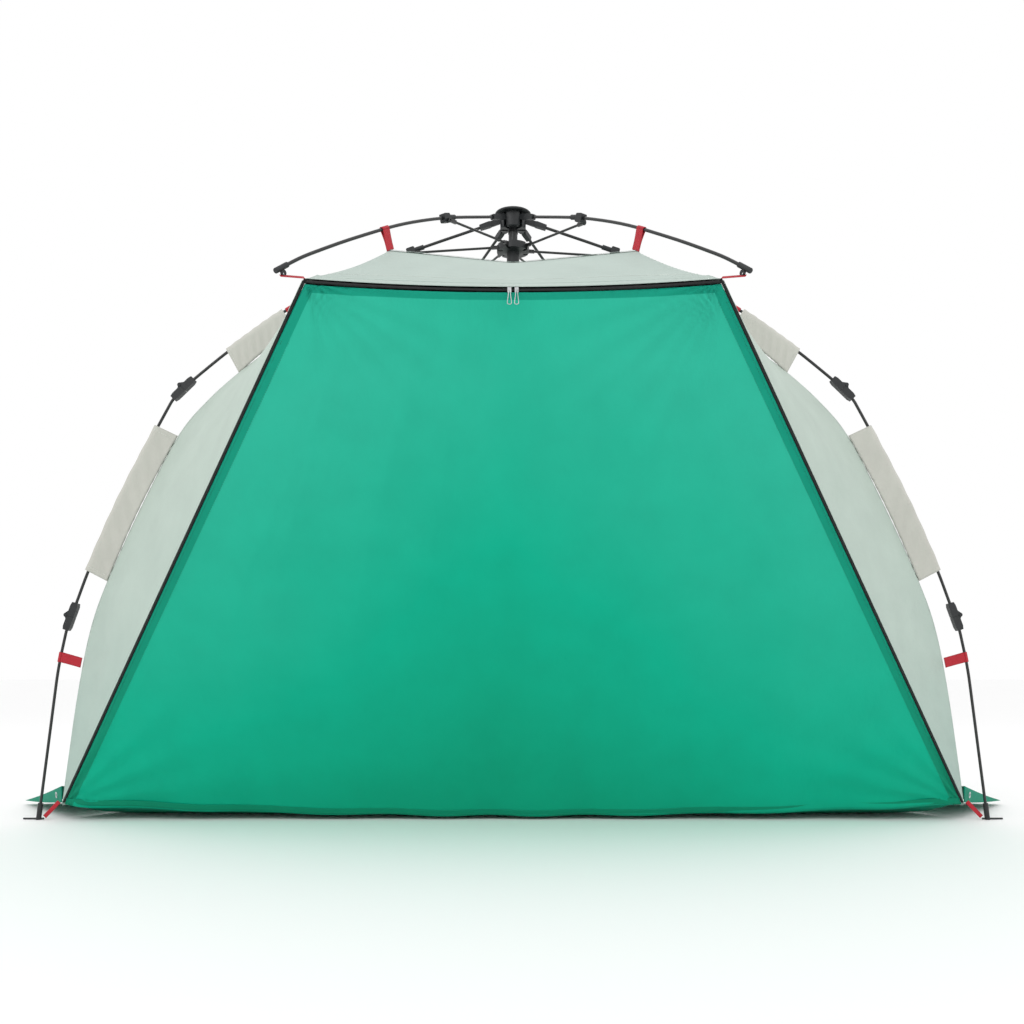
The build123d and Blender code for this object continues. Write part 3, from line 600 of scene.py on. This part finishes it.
for s in (-.59, .59):
    j = int(np.argmin(np.abs(sgrid - s)))
    pin[ir - 1:ir + 2, j - 1:j + 2] = True
# the ridge is a taut seam with a slight sag
jl, jr = int(np.argmin(np.abs(sgrid + .59))), int(np.argmin(np.abs(sgrid - .59)))
pin[ir, jl:jr + 1] = True
# a hip seam runs from each peak to the door's corner
for jj, sgn in ((jl, -1), (jr, 1)):
    A, B = G[ir, jj].copy(), G[0, 0 if sgn < 0 else -1].copy()
    for i in range(0, ir):
        t = i / ir
        p = B + (A - B) * t
        j = int(np.argmin(np.abs(G[i, :, 0] - p[0])))
        G[i, j, 2] = p[2] - .010 * math.sin(math.pi * t)
        G[i, j, 0] = p[0]
        pin[i, j] = True
# crown held by the hub's tie
ic, jc = int(np.argmin(np.abs(Y))), cols // 2
Z = relaxed(G[..., 2:3], pin, 500)
G[..., 2] = Z[..., 0]
XY = relaxed(G[..., :1], pin, 60)
G[..., 0] = XY[..., 0]
i, j = np.mgrid[0:rows, 0:cols]
a, b = i / (rows - 1), j / (cols - 1)
rip = .0010 * np.sin(G[..., 0] * 2 * np.pi / .020 + 2 * np.sin(G[..., 0] * 12)) * np.exp(-(G[..., 1] - G[0, 0, 1]) / .02)
rip += .0014 * np.sin(a * 34 + 5 * b) * np.sin(np.pi * a) * np.sin(np.pi * b)
rip *= np.clip(np.minimum(np.minimum(a, 1 - a), np.minimum(b, 1 - b)) / .01, 0, 1)
G[..., 2] += rip
crown = .045 * np.exp(-((G[..., 0]) ** 2 + (G[..., 1] - HY) ** 2) / .26 ** 2)
crown *= np.clip((G[..., 1] - HY + .40) / .30, 0, 1) * np.clip((.5196 - G[..., 1] + HY) / .2, 0, 1)
G[..., 2] += crown
roof = mesh_object("roof_cloth_sheet", G.reshape(-1, 3), grid_faces(rows, cols), [ROOF], thick=.0008)
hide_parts("roof")
fall(roof)
ROOF_G, RIDGE = G, ir
line = G[6, 3:-3]
o = stitches("roof_front_stitch", line, (0, -.8, .6), THREAD)
fall(o)
o, _ = ribbon("roof_ridge_tape", G[ir, jl:jr + 1] + np.array((0, -.001, .0016)), .012, (0, -.35, .94), [ROOF], .0008)
o, _ = ribbon("roof_front_tape", G[3, 1:-1] + np.array((0, -.0009, .0006)), .014, (0, -.62, .78), [ROOF], .0008)

# ------------------------------------------------------------------ floor and flaps
pts = [at(az, 1.2612, 0) for az in (0, 60, 120, 180)]
n = 41
left = np.array([pts[3] + (np.array((-.0, 0, 0))) * t for t in np.linspace(0, 1, n)])
back = np.linspace(0, 1, n)
G = np.zeros((n, 61, 3))
for i, t in enumerate(back):
    y = t * (pts[1][1] - pts[0][1])
    X = 1.2590 - t * (1.2590 - .6305)
    for j, s in enumerate(np.linspace(-1, 1, 61)):
        lip = (.013 + .028 * s * s) * max(0.0, 1 - y / .16) ** 2
        lip = max(lip, .0085 * max(0.0, 1 - (1.0922 - y) / .035) ** 2)
        lip = max(lip, (.0385 - .0295 * t) * max(0.0, 1 - (1 - abs(s)) * X / .09) ** 2)
        G[i, j] = (s * X, HY + .008 + y * .992, lip + .0011 + .0016 * (0.5 + 0.5 * math.sin(9 * s * X + 5 * y)) * math.sin(math.pi * t) * math.sin(math.pi * (s + 1) / 2))
floor = mesh_object("floor_cloth_sheet", G.reshape(-1, 3), grid_faces(n, 61), [FLOOR], thick=.0010)
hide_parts("ground_sheet")
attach(floor, "canopy")

for sx, side in ((1, "right"), (-1, "left")):
    A, B = hub(sx * 1.266, .012, .092), hub(sx * 1.266, .016, .046)
    T, R = hub(sx * 1.520, .350, .012), hub(sx * 1.010, .520, .012)
    n, m = 41, 17
    top = np.array([A * (1 - t) + T * t + np.array((0, 0, -.003 * math.sin(math.pi * t))) for t in np.linspace(0, 1, n)])
    low = np.array([B * (1 - t) + T * t + np.array((0, 0, -.003 * math.sin(math.pi * t))) for t in np.linspace(0, 1, n)])
    G = np.zeros((n, m, 3))
    for j, s in enumerate(np.linspace(0, 1, m)):
        G[:, j] = low * (1 - s) + top * s
    o = mesh_object(f"flap_face_{side}", G.reshape(-1, 3), grid_faces(n, m, sx < 0), [FLOOR], thick=.0010)
    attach(o, "canopy")
    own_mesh(o)
    if sx > 0:
        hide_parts("side_flaps")
    G = np.zeros((n, 25, 3))
    for j, s in enumerate(np.linspace(0, 1, 25)):
        for i, t in enumerate(np.linspace(0, 1, n)):
            p = (A * (1 - t) + R * t)
            G[i, j] = top[i] * (1 - s) + p * s
            G[i, j, 2] += .006 * math.sin(math.pi * s) * math.sin(math.pi * t)
    o = mesh_object(f"flap_top_{side}", G.reshape(-1, 3), grid_faces(n, 25, sx > 0), [FLOOR], thick=.0010)
    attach(o, "canopy")
    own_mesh(o)


# ------------------------------------------------------------------ sleeves
def sleeve(name, az, path, r0, r1, seam0, seam1, seed):
    """One folded strip: sewn to the wall's seam, round the rod and back."""
    L = between(path, r0, r1, 70)
    n = len(L)
    t = np.linspace(0, 1, n)
    S = np.stack([seam0[0] + t * (seam1[0] - seam0[0]), seam0[1] + t * (seam1[1] - seam0[1])], 1)
    S += np.stack([.006 * np.sin(np.pi * t), .006 * np.sin(np.pi * t)], 1)
    rg = np.random.default_rng(seed)
    ph = rg.uniform(0, 6, 4)
    out = []
    for k in range(n):
        c, s = L[k], S[k]
        u = (c - s) / np.linalg.norm(c - s)
        width = np.linalg.norm(c - s)
        row = []
        R = .0088 + .0006 * math.sin(38 * t[k] + ph[0])
        for side in (1, -1):
            part = []
            for e in np.linspace(0, 1, 11):
                d = width * e * .93
                puff = R * (e ** 1.6) * .85 + .0016
                wr = .0013 * math.sin(46 * t[k] + 5 * e + ph[1] + side) * math.sin(math.pi * e) + .0009 * math.sin(95 * t[k] + ph[2]) * math.exp(-e * 7)
                part.append((s + u * d, side * (puff + wr)))
            if side > 0:
                first = part
            else:
                last = part[::-1]
        nose = []
        for a in np.linspace(78, -78, 9):
            a = math.radians(a)
            nose.append((c + u * R * math.cos(a), R * math.sin(a)))
        for (p, lat) in first + nose + last:
            row.append(at(az, p[0], p[1], lat))
        out.append(row)
    G = np.array(out)
    o = mesh_object(name, G.reshape(-1, 3), grid_faces(n, G.shape[1]), [SLEEVE], thick=.0008)
    fall(o)
    for kk, e in (("near", 2), ("far", n - 3)):
        q3 = G[e, 2:12]
        nn = at(az, 0, 0, 1) - at(az, 0, 0, 0)
        st = stitches(f"{name}_stitch_{kk}", q3, nn, THREAD, lift=.0009)
        fall(st)
    return o


first = {}
for k, (side, az) in enumerate(LEGS.items()):
    a = sleeve(f"upper_leg_rod_{side}_sleeve", az, UPPER, .640, .797, (.604, 1.366), (.765, 1.247), 11 + k)
    b = sleeve(f"middle_leg_rod_{side}_sleeve", az, MIDDLE, .9915, 1.1865, (.937, 1.072), (1.134, .666), 31 + k)
    if k == 0:
        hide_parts("upper_leg_sleeves")
        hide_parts("middle_leg_sleeves")


# ------------------------------------------------------------------ red webbing
def wrap(az, path, r0, r1, R, name, tail=None):
    """Webbing taken round a rod, both ends laid together and sewn to the cloth at tail."""
    L = between(path, r0, r1, 6)
    c = L.mean(0)
    along = (L[-1] - L[0]) / np.linalg.norm(L[-1] - L[0])
    width = float(np.linalg.norm(L[-1] - L[0]))
    c3 = at(az, *c)
    ax = at(az, along[0], along[1]) - at(az, 0, 0)
    lat = at(az, 0, 0, 1) - at(az, 0, 0, 0)
    down = np.array(tail) - c3
    down -= ax * down.dot(ax)
    dist = np.linalg.norm(down)
    down /= dist
    lat = lat - down * lat.dot(down)
    lat /= np.linalg.norm(lat)
    pts = [np.array(tail) + lat * .0009]
    pts.append(np.array(tail) * .5 + (c3 + down * R) * .5 + lat * .0012)
    for a in np.linspace(-40, 220, 15):
        a = math.radians(a)
        pts.append(c3 + lat * R * math.cos(a) - down * R * math.sin(a))
    pts.append(np.array(tail) * .5 + (c3 + down * R) * .5 - lat * .0012)
    pts.append(np.array(tail) - lat * .0009)
    P = smooth_line(pts, 70)
    T = np.gradient(P, axis=0)
    T /= np.linalg.norm(T, axis=1)[:, None]
    Nn = np.cross(ax, T)
    cols = np.linspace(-.5, .5, 7)
    G = P[:, None] + ax[None, None] * (cols * width)[None, :, None]
    o = mesh_object(name, G.reshape(-1, 3), grid_faces(len(P), 7), [RED], thick=.0012)
    fall(o)
    return o


tie = None
for side, az in BROWS.items():
    jj = jl if side == "left" else jr
    t = ROOF_G[RIDGE, jj] + np.array((0, 0, .001))
    o = wrap(az, BROW, .4945, .5175, .0056, f"roof_tie_brow_{side}", t)
    tie = tie or o
    sx = 1 if side == "right" else -1
    P0, P1 = hub(sx * .5095, -.6515, 1.2785), hub(sx * .4625, -.6225, 1.2850)
    ln = np.array([P0 * (1 - t) + P1 * t for t in np.linspace(0, 1, 12)])
    o, _ = ribbon(f"corner_tie_{side}", ln, .0085, (.2 * sx, -.8, .55), [RED], .0012)
for side, az in LEGS.items():
    o = wrap(az, UPPER, .612, .634, .0058, f"roof_tie_arm_{side}", at(az, .604, 1.384))
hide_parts("roof_ties")
first = None
for side, az in LEGS.items():
    o = wrap(az, LOWER, 1.2605, 1.2662, .0058, f"leg_strap_{side}", at(az, 1.206, .438))
    first = first or o
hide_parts("leg_straps")
first = None
for side, az in LEGS.items():
    P = [at(az, 1.268, .050), at(az, 1.290, .027), at(az, 1.3085, .008)]
    o, _ = ribbon(f"foot_strap_{side}", smooth_line(P, 16), .011, np.array(at(az, 0, 0, 1) - at(az, 0, 0, 0)), [RED], .0014)
    first = first or o
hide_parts("foot_straps")

# ------------------------------------------------------------------ zip sliders and pulls
DOWN = np.array((0, SLOPE[0], SLOPE[1]))


def tube(line, rad, seg=12, closed=False):
    L = np.array(line, float)
    n = len(L)
    T = (np.roll(L, -1, 0) - np.roll(L, 1, 0)) if closed else np.gradient(L, axis=0)
    T /= np.linalg.norm(T, axis=1)[:, None]
    V, F = [], []
    for p_, t_ in zip(L, T):
        a_ = np.cross(t_, DOOR_N if abs(t_.dot(DOOR_N)) < .9 else DOWN)
        a_ /= np.linalg.norm(a_)
        b_ = np.cross(t_, a_)
        for k in range(seg):
            g = 2 * math.pi * k / seg
            V.append(p_ + rad * (a_ * math.cos(g) + b_ * math.sin(g)))
    for i in range(n if closed else n - 1):
        for k in range(seg):
            i2 = (i + 1) % n
            F.append((i * seg + k, i * seg + (k + 1) % seg, i2 * seg + (k + 1) % seg, i2 * seg + k))
    if not closed:
        F.append(tuple(range(seg))[::-1])
        F.append(tuple((n - 1) * seg + k for k in range(seg)))
    return V, F


def box_part(c, half, bev):
    """Rounded block in the door's own directions."""
    bm = bmesh.new()
    bmesh.ops.create_cube(bm, size=2)
    for v_ in bm.verts:
        v_.co = Vector((v_.co.x * half[0], v_.co.y * half[1], v_.co.z * half[2]))
    bmesh.ops.bevel(bm, geom=bm.edges[:], offset=bev, segments=3, affect="EDGES", profile=.6)
    V = [c + np.array((v_.co.x, 0, 0)) + DOWN * v_.co.y + DOOR_N * v_.co.z for v_ in bm.verts]
    F = [tuple(v_.index for v_ in f.verts) for f in bm.faces]
    bm.free()
    return V, F


def joined(*parts):
    V, F = [], []
    for v_, f_ in parts:
        b_ = len(V)
        V += list(v_)
        F += [tuple(i + b_ for i in g) for g in f_]
    return V, F


for sx, side in ((1, "right"), (-1, "left")):
    c = on_door(sx * .008, .0245, 0)
    arch = [c + DOWN * a + DOOR_N * b for a, b in ((-.0040, .0046), (-.0036, .0064), (-.0018, .0078), (.0012, .0079), (.0034, .0070), (.0042, .0052))]
    V, F = joined(box_part(c + DOOR_N * .0030, (.0046, .0058, .0019), .0011), tube(smooth_line(arch, 24), .0010))
    o = mesh_object(f"slider_body_{side}", V, F, [ALLOY])
    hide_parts(f"zip_slider_{side}")
    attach(o, f"zip_slider_{side}")
    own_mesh(o)
    h = on_door(sx * .008, .026, .0066)
    ring = []
    for a, b in ((-.0006, 0), (.0000, .0014), (.006, .0022), (.014, .0031), (.022, .0042), (.0265, .0046), (.0290, .0034), (.0300, 0)):
        ring.append((a, b))
    ring = ring[1:] + [(a, -b) for a, b in ring[-2:0:-1]]
    pts_ = smooth_line(ring, 64)
    V, F = tube([h + np.array((b, 0, -a)) for a, b in pts_], .00095)
    o = mesh_object(f"pull_loop_{side}", V, F, [ALLOY])
    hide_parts(f"zip_pull_{side}")
    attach(o, f"zip_pull_{side}")
    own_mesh(o)

# ------------------------------------------------------------------ hub cap
def lathe(name, prof, cx, cy, mat, seg=96):
    V, F = [], []
    n = len(prof)
    for k in range(seg):
        a = 2 * math.pi * k / seg
        for r_, z_ in prof:
            V.append((cx + r_ * math.cos(a), cy + r_ * math.sin(a), z_))
    for k in range(seg):
        for i in range(n - 1):
            F.append((k * n + i, ((k + 1) % seg) * n + i, ((k + 1) % seg) * n + i + 1, k * n + i + 1))
    F.append(tuple(k * n for k in range(seg))[::-1])
    F.append(tuple(k * n + n - 1 for k in range(seg)))
    return mesh_object(name, V, F, [mat])


cap = lathe("hub_cap_dish", [(.034, 1.6860), (.046, 1.6862), (.0488, 1.6872), (.0500, 1.6890), (.0498, 1.6912), (.0480, 1.6930), (.0440, 1.6946), (.0380, 1.6958),
                             (.0372, 1.6950), (.0352, 1.6950), (.0344, 1.6964), (.0260, 1.6976), (.0150, 1.6984), (.0040, 1.6987)], 0, HY, NYLON)
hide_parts("hub_cap")
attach(cap, "canopy")

# ------------------------------------------------------------------ stage, light, camera
me = bpy.data.meshes.new("studio_floor")
me.from_pydata([(-60, -60, 0), (60, -60, 0), (60, 60, 0), (-60, 60, 0)], [], [(0, 1, 2, 3)])
floor_o = bpy.data.objects.new("studio_floor", me)
bpy.context.scene.collection.objects.link(floor_o)
floor_o.location.z = -.0005
m, nt, p = material("studio_floor_white")
p.inputs["Base Color"].default_value = (.97, .97, .97, 1)
p.inputs["Roughness"].default_value = .9
me.materials.append(m)

world = bpy.data.worlds.new("studio")
bpy.context.scene.world = world
world.use_nodes = True
bg = world.node_tree.nodes["Background"]
bg.inputs[0].default_value = (1, 1, 1, 1)
bg.inputs[1].default_value = 1.0


def area_light(name, loc, target, size, watts):
    d = bpy.data.lights.new(name, "AREA")
    d.shape = "RECTANGLE"
    d.size, d.size_y = size
    d.energy = watts
    o = bpy.data.objects.new(name, d)
    o.location = loc
    o.rotation_euler = (Vector(target) - Vector(loc)).to_track_quat("-Z", "Y").to_euler()
    bpy.context.scene.collection.objects.link(o)


area_light("key", (-2.5, HY - 4.0, 4.2), (0, HY, .9), (3, 3), 42)
area_light("fill", (3.5, HY - 3.5, 2.6), (0, HY, .8), (3, 3), 14)
area_light("back", (0, HY + 4.0, 4.5), (0, HY, .9), (4, 2), 20)

cam = bpy.data.cameras.new("camera")
cam.sensor_width = 36
cam.lens = 1074 / 1024 * 36
cam.shift_x = -.001
cam.shift_y = .157
cam.clip_end = 200
co = bpy.data.objects.new("camera", cam)
co.location = (0, HY - 3.0, .41)
co.rotation_euler = (math.radians(90), 0, 0)
bpy.context.scene.collection.objects.link(co)
bpy.context.scene.camera = co

bpy.context.scene.view_settings.view_transform = "Standard"
bpy.context.view_layer.update()
